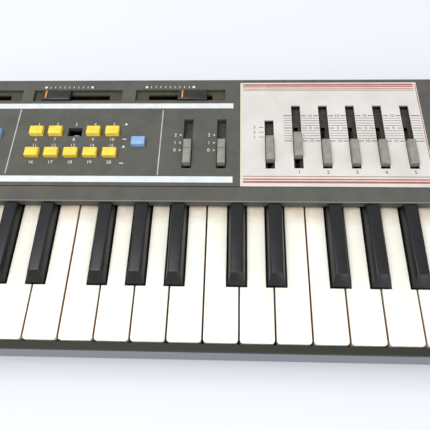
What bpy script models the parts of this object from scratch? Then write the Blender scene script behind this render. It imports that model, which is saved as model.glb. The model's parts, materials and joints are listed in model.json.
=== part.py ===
"""Portable keyboard with 49 mini keys, a five-slider equalizer plate and a row of tone buttons.

Sizes are in millimetres and become metres when a mesh is stored. +X is the player's right, +Y points
away from the player, +Z is up, and the origin lies on the table under the middle of the case.
"""

import math

import bmesh
import bpy
from mathutils import Matrix, Vector

MM = 0.001

# The case
CASE_WIDTH = 595.0
CASE_DEPTH = 178.0
CASE_HEIGHT = 50.8
WALL = 2.5
GAP = 0.3  # between pieces that touch
PART_LINE = 22.0  # height at which the upper and lower cases meet
FEET_HEIGHT = 3.0
REAR_ROUNDING = 3.0
FRONT_UNDERCUT = 8.7

# The control panel, a plane that falls towards the player
PANEL_SLOPE = math.radians(1.0)
PANEL_THICKNESS = 3.6
STRIP_FRONT = -4.9
STRIP_LIP_DROP = 5.0  # the strip over the keys turns down this far at its front edge
SEAM_Y = 5.2
SEAM_WIDTH = 0.6
SEAM_DEPTH = 0.9

# The keys
KEY_PITCH = 19.0
KEY_GAP = 0.9
WHITE_KEYS = 29
MIDDLE_KEY = 15
KEY_TOP = 42.3
KEY_FRONT = -84.2
KEY_SKIRT = 9.0
KEY_SHELL = 1.6
KEY_BODY_END = 0.0
KEY_CORNER = 1.6
BLACK_FRONT = -53.2
BLACK_REAR = -5.5
BLACK_RISE = 6.3
BLACK_FRONT_SLOPE = 5.2
BLACK_BASE_WIDTH = 10.0
BLACK_TOP_WIDTH_FRONT = 6.4
BLACK_TOP_WIDTH_REAR = 7.5
BLACK_SIDE_GAP = 0.8
BLACK_SKIRT = 8.3
BLACK_OFFSETS = {"C": -1.4, "D": 1.4, "F": -2.2, "G": 0.1, "A": 2.5}
OCTAVE = "CDEFGAB"
KEY_ARM_TOP = KEY_TOP - GAP
KEY_ARM_WIDTH = 8.4
KEY_WELL_SIDE_GAP = 1.0
RAIL_TO_KEY = 0.5

# The pivot rail that the keys clip on
PIVOT_Y = 18.0
PIVOT_Z = 36.0
PIVOT_RADIUS = 2.0
PIVOT_CLEARANCE = 0.3
PIVOT_WALL = 2.0
HOOK_LENGTH = 4.0
HOOK_DROP = 2.6
PRESS_ROOM = 0.3

# The chassis and the contact board under the keys
CHASSIS_FLOOR = 14.0
CHASSIS_THICKNESS = 2.0
CHASSIS_FRONT = -76.0
CHASSIS_REAR = 26.0
STOP_RAIL_Y = (-70.0, -64.0)
STOP_RAIL_TOP = 26.7
CONTACT_BOARD_Y = (-40.0, 10.0)
CONTACT_RIDGE_Y = (-22.0, -16.0)
CONTACT_RIDGE_TOP = 30.2
BOARD_THICKNESS = 1.6

# The rails that join the keys of a moulded comb behind, below and in front of the pivot
COMB_RAIL_REAR_Y = (22.4, 25.0)
COMB_RAIL_REAR_Z = (38.5, 41.8)
COMB_RAIL_LOW_Y = (2.0, 8.0)
COMB_RAIL_LOW_Z = (33.0, 36.4)
COMB_RAIL_BLACK_Y = (-14.0, -8.0)
COMB_RAIL_BLACK_Z = (26.4, 30.4)

# The equalizer plate
PLATE_X = (9.7, 123.4)
PLATE_Y = (5.6, 84.6)
PLATE_THICKNESS = 1.0
PLATE_PROUD = 0.1
EQUALIZER_X = 44.85
EQUALIZER_PITCH = 17.0
EQUALIZER_SLOTS = 5
EQUALIZER_SLOT_Y = (18.1, 65.6)
EQUALIZER_SLOT_WIDTH = 5.65
SELECTOR_X = 27.75
SELECTOR_SLOT_Y = (17.85, 53.85)
CASE_SLOT_MARGIN = 1.0

# Slide knobs of the equalizer, the selector and the effect switches
KNOB_WIDTH = 4.8
KNOB_LENGTH = 17.3
KNOB_HEIGHT = 3.2
KNOB_BELOW = 1.5
KNOB_EDGE = 0.5
STEM_WIDTH = 1.6
STEM_LENGTH = 3.0
STEM_BOTTOM = -10.0
EQUALIZER_REST_Y = (34.4, 29.1, 29.1, 29.1, 29.1)
EQUALIZER_LOW_Y = 29.1
EQUALIZER_TRAVEL = 19.5
SELECTOR_REST_Y = 31.6
SELECTOR_TRAVEL = 7.6
EFFECT_X = (-22.75, -1.85)
EFFECT_SLOT_Y = (18.0, 54.7)
EFFECT_SLOT_WIDTH = 5.85
EFFECT_REST_Y = 29.1
EFFECT_TRAVEL = 11.4
POWER_X = -262.0
POWER_REST_Y = 33.0
POWER_SLOT_Y = (20.0, 54.0)
POWER_TRAVEL = 10.0

# Volume, tempo and accompaniment sliders in long recesses behind
RECESS_LENGTH = 59.0
RECESS_Y = (69.8, 79.0)
RECESS_DEPTH = 2.2
RECESS_CENTRES = {"melody_volume_slider": -29.5, "tempo_slider": -97.5, "accompaniment_volume_slider": -164.0}
SLIDE_REST_X = {"melody_volume_slider": -21.5, "tempo_slider": -111.7, "accompaniment_volume_slider": -172.0}
SLIDE_LOW_X = {"melody_volume_slider": -44.3, "tempo_slider": -111.7, "accompaniment_volume_slider": -179.0}
SLIDE_TRAVEL = 28.4
SLIT_LENGTH = 42.0
SLIT_WIDTH = 4.0
SLIT_Y = 74.3
SLIDE_CAP_LENGTH = 19.0
SLIDE_CAP_Y = (70.15, 78.3)
SLIDE_CAP_HEIGHT = 1.4
SLIDE_CAP_EDGE = 1.2

# Push buttons
BUTTON_WIDTH = 8.4
BUTTON_DEPTH = 5.9
BUTTON_HEIGHT = 3.2
BUTTON_EDGE = 0.45
BUTTON_HOLE_GAP = 0.3
BUTTON_FLANGE = 0.9
BUTTON_TRAVEL = 1.5
TONE_X = -118.7
TONE_PITCH = 12.1
TONE_COLUMNS = 5
TONE_ROWS_Y = (44.65, 28.4)
EMPTY_TONE = 2  # the third place of the upper row has lost its cap
SELECT_BUTTONS = {"tone_select_button": (-53.4, 36.6), "rhythm_select_button": (-145.4, 42.7)}
RHYTHM_X = -221.0
RHYTHM_COLUMNS = 6

# Speaker and its grille at the right end of the panel
SPEAKER_X = 210.0
SPEAKER_Y = 57.0
SPEAKER_RADIUS = 28.0
GRILLE_SLOTS = 11
GRILLE_PITCH = 5.6
GRILLE_LENGTH = 84.0
GRILLE_WIDTH = 2.4
GRILLE_Y = 46.0

# Circuit board under the panel
MAIN_BOARD_X = (-280.0, 124.0)
MAIN_BOARD_Y = (24.5, 79.2)
MAIN_BOARD_Z = 35.0
POT_WIDTH = 6.6
POT_TOP = 42.0
POT_SLIT = 2.4
POT_END = 2.0
SWITCH_TOP = 42.9

# Sockets in the rear wall
JACK_PANEL_X = (128.0, 168.0)
JACK_PANEL_Z = (26.0, 42.0)
JACK_PITCH = 12.5
JACK_Z = 34.0
JACK_RADIUS = 3.3
JACK_SLEEVE = 5.2
JACK_DEPTH = 14.0

# Battery bay in the lower case, with a cover that slides out to the rear
BAY_X = (-148.0, 4.0)
BAY_Y = (33.0, 84.4)
BAY_TOP = 32.0
BAY_WALL = 2.0
COVER_LIP = 2.0
COVER_SPLIT = 4.4
COVER_TOP = 5.3

# Feet and the posts that carry the boards and take the case screws
FOOT_RADIUS = 7.5
FOOT_X = 265.0
FOOT_Y = (-58.0, 66.0)
POST_RADIUS = 3.0
CASE_POSTS = ((-287.0, -45.0), (287.0, -45.0), (-287.0, 58.0), (287.0, 58.0))
REAR_POSTS_X = (-232.0, 40.0, 262.0)
REAR_POSTS_Y = 82.5
CHASSIS_POSTS = ((-230.0, -55.0), (0.0, -55.0), (230.0, -55.0), (-230.0, 15.0), (0.0, 15.0), (230.0, 15.0))
BOARD_POSTS = ((-230.0, 40.0), (70.0, 60.0), (112.0, 60.0))

HALF_WIDTH = CASE_WIDTH / 2
HALF_DEPTH = CASE_DEPTH / 2
PANEL_REAR_Y = HALF_DEPTH - REAR_ROUNDING
KEY_WELL_HALF = WHITE_KEYS * KEY_PITCH / 2 + KEY_WELL_SIDE_GAP
RAIL_INNER = KEY_FRONT - RAIL_TO_KEY
PANEL = (
    Matrix.Translation((0, PANEL_REAR_Y, CASE_HEIGHT))
    @ Matrix.Rotation(PANEL_SLOPE, 4, "X")
    @ Matrix.Translation((0, -PANEL_REAR_Y, 0))
)

# Colour, roughness and metallic value of each moulding
FINISHES = {
    "case": ((0.11, 0.105, 0.092), 0.6, 0.0),
    "white_key": ((0.88, 0.87, 0.78), 0.35, 0.0),
    "black_key": ((0.012, 0.012, 0.014), 0.35, 0.0),
    "plate": ((0.77, 0.74, 0.70), 0.5, 0.0),
    "grey_knob": ((0.46, 0.45, 0.41), 0.45, 0.0),
    "black_cap": ((0.03, 0.03, 0.03), 0.4, 0.0),
    "yellow": ((0.98, 0.72, 0.07), 0.4, 0.0),
    "blue": ((0.22, 0.40, 0.75), 0.4, 0.0),
    "board": ((0.30, 0.20, 0.09), 0.7, 0.0),
    "steel": ((0.45, 0.45, 0.45), 0.4, 1.0),
}


def panel_z(y):
    """Height of the panel's upper face at a place along Y."""
    return CASE_HEIGHT + (y - PANEL_REAR_Y) * math.tan(PANEL_SLOPE)


def block(x, y, z):
    """A box from three (low, high) pairs."""
    bm = bmesh.new()
    bmesh.ops.create_cube(bm, size=1.0)
    size = Vector((x[1] - x[0], y[1] - y[0], z[1] - z[0]))
    centre = Vector((x[0] + x[1], y[0] + y[1], z[0] + z[1])) / 2
    bmesh.ops.transform(bm, matrix=Matrix.Translation(centre) @ Matrix.Diagonal((*size, 1.0)), verts=bm.verts)
    return bm


def extruded(outline, place, travel):
    """A prism from an outline, where place turns an outline point into a 3-D one."""
    bm = bmesh.new()
    face = bm.faces.new([bm.verts.new(place(*point)) for point in outline])
    grown = bmesh.ops.extrude_face_region(bm, geom=[face])["geom"]
    bmesh.ops.translate(bm, vec=travel, verts=[item for item in grown if isinstance(item, bmesh.types.BMVert)])
    bmesh.ops.recalc_face_normals(bm, faces=bm.faces)
    return bm


def along_x(outline, x):
    """A (y, z) outline pulled from x[0] to x[1]."""
    return extruded(outline, lambda y, z: (x[0], y, z), (x[1] - x[0], 0, 0))


def upright(outline, z):
    """An (x, y) outline pulled from z[0] to z[1]."""
    return extruded(outline, lambda x, y: (x, y, z[0]), (0, 0, z[1] - z[0]))


def cylinder(centre, radius, low, high, axis="Z", segments=16):
    """A round bar along Z or Y."""
    bm = bmesh.new()
    bmesh.ops.create_cone(
        bm, cap_ends=True, segments=segments, radius1=radius, radius2=radius, depth=high - low
    )
    turn = Matrix.Identity(4) if axis == "Z" else Matrix.Rotation(-math.pi / 2, 4, "X")
    middle = (low + high) / 2
    x, other = centre
    spot = (x, other, middle) if axis == "Z" else (x, middle, other)
    bmesh.ops.transform(bm, matrix=Matrix.Translation(spot) @ turn, verts=bm.verts)
    return bm


def merged(shapes):
    """Several bmeshes in one, for shapes that don't touch."""
    result = bmesh.new()
    for shape in shapes:
        mesh = bpy.data.meshes.new("part")
        shape.to_mesh(mesh)
        result.from_mesh(mesh)
        bpy.data.meshes.remove(mesh)
        shape.free()
    return result


def on_panel(bm):
    """Tilts a shape that was made flat, with z as the height over the panel."""
    bmesh.ops.transform(bm, matrix=PANEL, verts=bm.verts)
    return bm


def helper(bm):
    mesh = bpy.data.meshes.new("helper")
    bm.to_mesh(mesh)
    bm.free()
    shape = bpy.data.objects.new("helper", mesh)
    shape.hide_render = True
    shape.display_type = "WIRE"
    bpy.context.scene.collection.objects.link(shape)
    return shape


def combined(bm, steps):
    """Runs Boolean steps, each ("UNION" or "DIFFERENCE", bmesh), and gives back the result."""
    base = helper(bm)
    others = []
    for operation, shape in steps:
        other = helper(shape)
        others.append(other)
        modifier = base.modifiers.new(operation.lower(), "BOOLEAN")
        modifier.operation = operation
        modifier.solver = "EXACT"
        modifier.object = other
    bpy.context.view_layer.update()
    evaluated = base.evaluated_get(bpy.context.evaluated_depsgraph_get())
    result = bmesh.new()
    result.from_mesh(evaluated.to_mesh())
    evaluated.to_mesh_clear()
    for shape in [base, *others]:
        mesh = shape.data
        bpy.data.objects.remove(shape)
        bpy.data.meshes.remove(mesh)
    bmesh.ops.dissolve_limit(
        result, angle_limit=math.radians(0.01), verts=result.verts, edges=result.edges
    )
    return result


def edges_at(bm, test):
    """Edges whose two ends both pass the test."""
    return [edge for edge in bm.edges if all(test(vert.co) for vert in edge.verts)]


def bevelled(bm, edges, width, segments=1):
    bmesh.ops.bevel(
        bm, geom=edges, offset=width, offset_type="OFFSET", segments=segments, profile=0.5,
        affect="EDGES", material=-1,
    )
    return bm


def finish(name):
    found = bpy.data.materials.get(name)
    if found:
        return found
    colour, roughness, metallic = FINISHES[name]
    material = bpy.data.materials.new(name)
    material.use_nodes = True
    shader = material.node_tree.nodes["Principled BSDF"]
    shader.inputs["Base Color"].default_value = (*colour, 1.0)
    shader.inputs["Roughness"].default_value = roughness
    shader.inputs["Metallic"].default_value = metallic
    material.diffuse_color = (*colour, 1.0)
    return material


def piece(name, bm, material, origin=(0.0, 0.0, 0.0)):
    """Stores a shape as a named object whose origin lies at the given point."""
    bmesh.ops.translate(bm, vec=-Vector(origin), verts=bm.verts)
    bmesh.ops.scale(bm, vec=(MM, MM, MM), verts=bm.verts)
    mesh = bpy.data.meshes.new(name)
    bm.to_mesh(mesh)
    bm.free()
    mesh.shade_smooth()
    mesh.set_sharp_from_angle(angle=math.radians(30))
    mesh.materials.append(finish(material))
    item = bpy.data.objects.new(name, mesh)
    item.location = Vector(origin) * MM
    bpy.context.scene.collection.objects.link(item)
    return item


def note_of(number):
    """Letter and octave of white key 1 to 29."""
    return OCTAVE[(number - 1) % 7], (number - 1) // 7 + 1


def key_x(number):
    return (number - MIDDLE_KEY) * KEY_PITCH


def black_x(number):
    """Middle of the black key that follows a white key."""
    return key_x(number) + KEY_PITCH / 2 + BLACK_OFFSETS[note_of(number)[0]]


def has_black(number):
    return 0 < number < WHITE_KEYS and note_of(number)[0] in BLACK_OFFSETS


def white_outline(number):
    """Plan of a white key: rounded front corners, and a step back beside each black key."""
    left = key_x(number) - (KEY_PITCH - KEY_GAP) / 2
    right = key_x(number) + (KEY_PITCH - KEY_GAP) / 2
    notch = BLACK_BASE_WIDTH / 2 + BLACK_SIDE_GAP
    neck_left = black_x(number - 1) + notch if has_black(number - 1) else left
    neck_right = black_x(number) - notch if has_black(number) else right
    notch_front = BLACK_FRONT - BLACK_SIDE_GAP
    cut = KEY_CORNER * (1 - math.sqrt(0.5))
    points = [
        (left, KEY_FRONT + KEY_CORNER),
        (left + cut, KEY_FRONT + cut),
        (left + KEY_CORNER, KEY_FRONT),
        (right - KEY_CORNER, KEY_FRONT),
        (right - cut, KEY_FRONT + cut),
        (right, KEY_FRONT + KEY_CORNER),
    ]
    if neck_right < right:
        points += [(right, notch_front), (neck_right, notch_front)]
    points += [(neck_right, KEY_BODY_END), (neck_left, KEY_BODY_END)]
    if neck_left > left:
        points += [(neck_left, notch_front), (left, notch_front)]
    return points, (neck_left + neck_right) / 2


def hollowed(bm, bottom, ceiling):
    """Opens a moulding from below: its bottom face is inset and pushed up to a ceiling."""
    faces = [face for face in bm.faces if all(abs(vert.co.z - bottom) < 0.01 for vert in face.verts)]
    bmesh.ops.inset_region(bm, faces=faces, thickness=KEY_SHELL, use_even_offset=True)
    grown = bmesh.ops.extrude_face_region(bm, geom=faces)["geom"]
    bmesh.ops.delete(bm, geom=faces, context="FACES")
    bmesh.ops.translate(bm, vec=(0, 0, ceiling - bottom), verts=[v for v in grown if isinstance(v, bmesh.types.BMVert)])
    return bm


def key_arm(x, start):
    """The rear of a key: a flat arm that ends in a clip over the pivot rail."""
    reach = PIVOT_RADIUS + PIVOT_CLEARANCE
    mouth = PIVOT_WALL / 2 + PIVOT_CLEARANCE + PRESS_ROOM
    saddle = [
        (PIVOT_Y + reach * math.cos(angle), PIVOT_Z + reach * math.sin(angle))
        for angle in [math.radians(step) for step in range(-20, 201, 44)]
    ]
    low = PIVOT_Z - HOOK_DROP
    arm_low = PIVOT_Z + reach
    rear = PIVOT_Y + HOOK_LENGTH
    profile = [
        (start, KEY_ARM_TOP),
        (start, arm_low),
        (PIVOT_Y - HOOK_LENGTH, arm_low),
        (PIVOT_Y - HOOK_LENGTH, low),
        (PIVOT_Y - mouth, low),
        *reversed(saddle),
        (PIVOT_Y + mouth, low),
        (rear, low),
        (rear, KEY_ARM_TOP),
    ]
    half = KEY_ARM_WIDTH / 2
    return along_x(profile, (x - half, x + half))


def white_key(number):
    outline, neck = white_outline(number)
    bottom = KEY_TOP - KEY_SKIRT
    body = hollowed(upright(outline, (bottom, KEY_TOP)), bottom, KEY_TOP - KEY_SHELL)
    return combined(body, [("UNION", key_arm(neck, KEY_BODY_END - KEY_SHELL / 2))])


def black_key(number):
    """A black key: a skirt between the whites, a tapered top and a sloped front."""
    x = black_x(number)
    half = BLACK_BASE_WIDTH / 2
    bm = block((x - half, x + half), (BLACK_FRONT, BLACK_REAR), (KEY_TOP - BLACK_SKIRT, KEY_TOP))
    top = max(bm.faces, key=lambda face: face.calc_center_median().z)
    grown = bmesh.ops.extrude_face_region(bm, geom=[top])["geom"]
    bmesh.ops.delete(bm, geom=[top], context="FACES")
    for vert in [item for item in grown if isinstance(item, bmesh.types.BMVert)]:
        front = vert.co.y < (BLACK_FRONT + BLACK_REAR) / 2
        width = BLACK_TOP_WIDTH_FRONT if front else BLACK_TOP_WIDTH_REAR
        vert.co.x = x + math.copysign(width / 2, vert.co.x - x)
        vert.co.y = BLACK_FRONT + BLACK_FRONT_SLOPE if front else BLACK_REAR
        vert.co.z = KEY_TOP + BLACK_RISE
    bmesh.ops.recalc_face_normals(bm, faces=bm.faces)
    peak = KEY_TOP + BLACK_RISE - 0.1
    bevelled(bm, edges_at(bm, lambda co: co.z > peak), BUTTON_EDGE)
    body = hollowed(bm, KEY_TOP - BLACK_SKIRT, KEY_TOP - GAP)
    return combined(body, [("UNION", key_arm(x, BLACK_REAR - KEY_SHELL / 2))])


def comb(keys, rail):
    """Several keys moulded in one with the rail that joins them."""
    first, *others = keys
    return combined(first, [("UNION", shape) for shape in others] + [("UNION", rail)])


def comb_rail(centres, y, z, overlap=1.0):
    return block((min(centres) - overlap, max(centres) + overlap), y, z)


def legs(centres, y, z):
    """Uprights between the keys of a comb and a rail that lies below them."""
    half = KEY_ARM_WIDTH / 2 - 1.0
    return [block((x - half, x + half), y, z) for x in centres]


def make_keys():
    pivot = (0.0, PIVOT_Y, PIVOT_Z)
    for number in range(10, 21):
        letter, octave = note_of(number)
        piece(f"white_key_{letter}{octave}", white_key(number), "white_key", (key_x(number), *pivot[1:]))
    for number in range(9, 21):
        if has_black(number):
            letter, octave = note_of(number)
            piece(
                f"black_key_{letter}{octave}_sharp", black_key(number), "black_key",
                (black_x(number), *pivot[1:]),
            )
    for side, odd, even in (("low", range(1, 10, 2), range(2, 9, 2)), ("high", range(21, 30, 2), range(22, 29, 2))):
        necks = [white_outline(number)[1] for number in odd]
        rail = comb_rail(necks, COMB_RAIL_REAR_Y, COMB_RAIL_REAR_Z)
        ties = legs(necks, (PIVOT_Y + HOOK_LENGTH - 1.0, COMB_RAIL_REAR_Y[0] + 1.0), (39.2, 41.2))
        shape = comb([white_key(number) for number in odd], rail)
        piece(
            f"{side}_white_comb_a", combined(shape, [("UNION", tie) for tie in ties]), "white_key",
            (necks[0], *pivot[1:]),
        )
        necks = [white_outline(number)[1] for number in even]
        rail = comb_rail(necks, COMB_RAIL_LOW_Y, COMB_RAIL_LOW_Z)
        ties = legs(necks, (3.0, 7.0), (COMB_RAIL_LOW_Z[1] - 1.0, PIVOT_Z + 3.0))
        shape = comb([white_key(number) for number in even], rail)
        piece(
            f"{side}_white_comb_b", combined(shape, [("UNION", tie) for tie in ties]), "white_key",
            (necks[0], *pivot[1:]),
        )
        blacks = [number for number in (range(1, 9) if side == "low" else range(22, 29)) if has_black(number)]
        centres = [black_x(number) for number in blacks]
        rail = comb_rail(centres, COMB_RAIL_BLACK_Y, COMB_RAIL_BLACK_Z)
        ties = legs(centres, (-13.0, -9.0), (COMB_RAIL_BLACK_Z[1] - 1.0, KEY_TOP + 1.0))
        shape = comb([black_key(number) for number in blacks], rail)
        piece(
            f"{side}_black_comb", combined(shape, [("UNION", tie) for tie in ties]), "black_key",
            (centres[0], *pivot[1:]),
        )


def equalizer_x(index):
    return EQUALIZER_X + index * EQUALIZER_PITCH


def tone_places():
    """Row, column, x and y of every place in the tone button field."""
    return [
        (row, column, TONE_X + column * TONE_PITCH, y)
        for row, y in enumerate(TONE_ROWS_Y)
        for column in range(TONE_COLUMNS)
    ]


def rhythm_places():
    return [(TONE_ROWS_Y[row], RHYTHM_X + column * TONE_PITCH) for row in range(2) for column in range(RHYTHM_COLUMNS)]


def slot(x, width, y, low=-3 * PANEL_THICKNESS, high=PANEL_THICKNESS, margin=0.0):
    """A cutter for a slot along Y, in panel heights."""
    half = width / 2 + margin
    return block((x - half, x + half), (y[0] - margin, y[1] + margin), (low, high))


def button_hole(x, y):
    half_x = BUTTON_WIDTH / 2 + BUTTON_HOLE_GAP
    half_y = BUTTON_DEPTH / 2 + BUTTON_HOLE_GAP
    return block((x - half_x, x + half_x), (y - half_y, y + half_y), (-3 * PANEL_THICKNESS, PANEL_THICKNESS))


def make_upper_case():
    top = lambda y: panel_z(y)
    outer = [
        (-HALF_DEPTH, PART_LINE),
        (-HALF_DEPTH, KEY_TOP - 2.4),
        (-HALF_DEPTH + 0.6, KEY_TOP - 1.9),
        (STRIP_FRONT, top(STRIP_FRONT)),
        (PANEL_REAR_Y, CASE_HEIGHT),
        (HALF_DEPTH - 0.8, CASE_HEIGHT - 1.0),
        (HALF_DEPTH, CASE_HEIGHT - REAR_ROUNDING),
        (HALF_DEPTH, PART_LINE),
    ]
    shell = along_x(outer, (-HALF_WIDTH, HALF_WIDTH))
    under = PART_LINE - 10.0
    inner_x = HALF_WIDTH - WALL
    panel_front = STRIP_FRONT + 2.0
    panel_space = [
        (panel_front, under),
        (panel_front, top(panel_front) - PANEL_THICKNESS),
        (HALF_DEPTH - WALL, top(HALF_DEPTH - WALL) - PANEL_THICKNESS),
        (HALF_DEPTH - WALL, under),
    ]
    cheek_slope = (top(STRIP_FRONT) - KEY_TOP + 1.9) / (STRIP_FRONT + HALF_DEPTH - 0.6)
    cheek_z = lambda y: KEY_TOP - 1.9 + (y + HALF_DEPTH - 0.6) * cheek_slope - WALL
    cheek_space = [
        (-HALF_DEPTH + WALL, under),
        (-HALF_DEPTH + WALL, cheek_z(-HALF_DEPTH + WALL)),
        (panel_front + 1.0, cheek_z(panel_front + 1.0)),
        (panel_front + 1.0, under),
    ]
    cheek_x = (KEY_WELL_HALF + WALL, inner_x)
    lip_low = top(STRIP_FRONT) - STRIP_LIP_DROP
    steps = [
        along_x(panel_space, (-inner_x, inner_x)),
        along_x(cheek_space, cheek_x),
        along_x(cheek_space, (-cheek_x[1], -cheek_x[0])),
        block((-KEY_WELL_HALF, KEY_WELL_HALF), (RAIL_INNER, STRIP_FRONT), (under, 2 * CASE_HEIGHT)),
        block((-KEY_WELL_HALF, KEY_WELL_HALF), (-40.0, 2 * -STRIP_FRONT), (under, lip_low)),
        on_panel(block((-HALF_WIDTH - 1, HALF_WIDTH + 1), (SEAM_Y - SEAM_WIDTH / 2, SEAM_Y + SEAM_WIDTH / 2), (-SEAM_DEPTH, 5.0))),
        on_panel(
            block(
                (PLATE_X[0] - GAP, PLATE_X[1] + GAP),
                (SEAM_Y, PLATE_Y[1] + GAP),
                (PLATE_PROUD - PLATE_THICKNESS - GAP, 5.0),
            )
        ),
        on_panel(
            merged(
                block((x - RECESS_LENGTH / 2, x + RECESS_LENGTH / 2), RECESS_Y, (-RECESS_DEPTH, 5.0))
                for x in RECESS_CENTRES.values()
            )
        ),
        on_panel(merged(panel_cuts())),
        block(
            (JACK_PANEL_X[0] - GAP, JACK_PANEL_X[1] + GAP),
            (HALF_DEPTH - 2 * WALL, HALF_DEPTH + WALL),
            (JACK_PANEL_Z[0] - GAP, JACK_PANEL_Z[1] + GAP),
        ),
    ]
    piece("upper_case", combined(shell, [("DIFFERENCE", step) for step in steps]), "case")


def panel_cuts():
    """Every opening that goes right through the panel."""
    cuts = [
        slot(equalizer_x(index), EQUALIZER_SLOT_WIDTH, EQUALIZER_SLOT_Y, margin=CASE_SLOT_MARGIN)
        for index in range(EQUALIZER_SLOTS)
    ]
    cuts.append(slot(SELECTOR_X, EQUALIZER_SLOT_WIDTH, SELECTOR_SLOT_Y, margin=CASE_SLOT_MARGIN))
    cuts += [slot(x, EFFECT_SLOT_WIDTH, EFFECT_SLOT_Y) for x in EFFECT_X]
    cuts.append(slot(POWER_X, EFFECT_SLOT_WIDTH, POWER_SLOT_Y))
    slit_y = (SLIT_Y - SLIT_WIDTH / 2, SLIT_Y + SLIT_WIDTH / 2)
    cuts += [
        block((x - SLIT_LENGTH / 2, x + SLIT_LENGTH / 2), slit_y, (-3 * PANEL_THICKNESS, PANEL_THICKNESS))
        for x in RECESS_CENTRES.values()
    ]
    cuts += [button_hole(x, y) for _, _, x, y in tone_places()]
    cuts += [button_hole(x, y) for x, y in SELECT_BUTTONS.values()]
    cuts += [button_hole(x, y) for y, x in rhythm_places()]
    for index in range(GRILLE_SLOTS):
        y = GRILLE_Y + (index - (GRILLE_SLOTS - 1) / 2) * GRILLE_PITCH
        cuts.append(
            block(
                (SPEAKER_X - GRILLE_LENGTH / 2, SPEAKER_X + GRILLE_LENGTH / 2),
                (y - GRILLE_WIDTH / 2, y + GRILLE_WIDTH / 2),
                (-3 * PANEL_THICKNESS, PANEL_THICKNESS),
            )
        )
    return cuts


def make_lower_case():
    edge = PART_LINE - GAP
    outer = [
        (-HALF_DEPTH + FRONT_UNDERCUT, FEET_HEIGHT),
        (-HALF_DEPTH + GAP, edge),
        (HALF_DEPTH - GAP, edge),
        (HALF_DEPTH - FRONT_UNDERCUT / 3, FEET_HEIGHT),
    ]
    floor = FEET_HEIGHT + WALL
    inner = [
        (-HALF_DEPTH + FRONT_UNDERCUT + WALL / 2, floor),
        (-HALF_DEPTH + GAP + WALL - 1.0, edge + 3.0),
        (HALF_DEPTH - GAP - WALL + 0.4, edge + 3.0),
        (HALF_DEPTH - FRONT_UNDERCUT / 3 - WALL + 0.4, floor),
    ]
    inner_x = HALF_WIDTH - GAP - WALL
    tray = combined(
        along_x(outer, (-HALF_WIDTH + GAP, HALF_WIDTH - GAP)),
        [("DIFFERENCE", along_x(inner, (-inner_x, inner_x)))],
    )
    low = floor - 1.0
    bay_rear = HALF_DEPTH - WALL - 0.5
    additions = [block(
        (BAY_X[0] - BAY_WALL, BAY_X[1] + BAY_WALL), (BAY_Y[0] - BAY_WALL, bay_rear), (low, BAY_TOP + BAY_WALL),
    )]
    for x, y in CASE_POSTS:
        slope_top = min(panel_z(y) - PANEL_THICKNESS, KEY_TOP - 4.7 + (y + HALF_DEPTH) * 0.105)
        additions.append(cylinder((x, y), POST_RADIUS, low, slope_top - GAP, segments=8))
    for x in REAR_POSTS_X:
        additions.append(
            cylinder((x, REAR_POSTS_Y), POST_RADIUS, low, panel_z(REAR_POSTS_Y) - PANEL_THICKNESS - GAP, segments=8)
        )
    for x, y in CHASSIS_POSTS:
        additions.append(cylinder((x, y), POST_RADIUS, low, CHASSIS_FLOOR - GAP, segments=8))
    for x, y in BOARD_POSTS:
        additions.append(cylinder((x, y), POST_RADIUS, low, MAIN_BOARD_Z - GAP, segments=8))
    for x in (BAY_X[0] + 20.0, BAY_X[1] - 20.0):
        additions.append(cylinder((x, 50.0), POST_RADIUS, BAY_TOP + 0.5, MAIN_BOARD_Z - GAP, segments=8))
    feet = [
        cylinder((side * FOOT_X, y), FOOT_RADIUS, 0.0, FEET_HEIGHT + 1.0, segments=16)
        for side in (-1, 1)
        for y in FOOT_Y
    ]
    narrow = (BAY_X[0] + COVER_LIP, BAY_X[1] - COVER_LIP)
    steps = [("UNION", shape) for shape in additions] + [("UNION", foot) for foot in feet]
    cover_room = COVER_TOP + GAP
    steps += [
        ("DIFFERENCE", block(BAY_X, BAY_Y, (COVER_SPLIT - GAP, BAY_TOP))),
        ("DIFFERENCE", block(narrow, (BAY_Y[0], HALF_DEPTH + 5.0), (0.0, cover_room))),
        ("DIFFERENCE", block(BAY_X, (BAY_Y[0], HALF_DEPTH + 5.0), (COVER_SPLIT - GAP, cover_room))),
    ]
    piece("lower_case", combined(tray, steps), "case")


def make_battery_cover():
    rear = HALF_DEPTH - FRONT_UNDERCUT / 3
    lower_x = (BAY_X[0] + COVER_LIP + GAP, BAY_X[1] - COVER_LIP - GAP)
    upper_x = (BAY_X[0] + GAP, BAY_X[1] - GAP)
    y = (BAY_Y[0] + GAP, rear)
    plate = block(lower_x, y, (FEET_HEIGHT, COVER_TOP))
    wings = block(upper_x, (y[0] + 1.0, y[1] - 1.0), (COVER_SPLIT, COVER_TOP - 0.1))
    grips = merged(
        block((-92.0, -52.0), (rear - 6.0 - step * 3.0, rear - 4.8 - step * 3.0), (0.0, FEET_HEIGHT + 0.7))
        for step in range(4)
    )
    piece("battery_cover", combined(plate, [("UNION", wings), ("DIFFERENCE", grips)]), "case", (-72.0, 60.0, 4.0))


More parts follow.
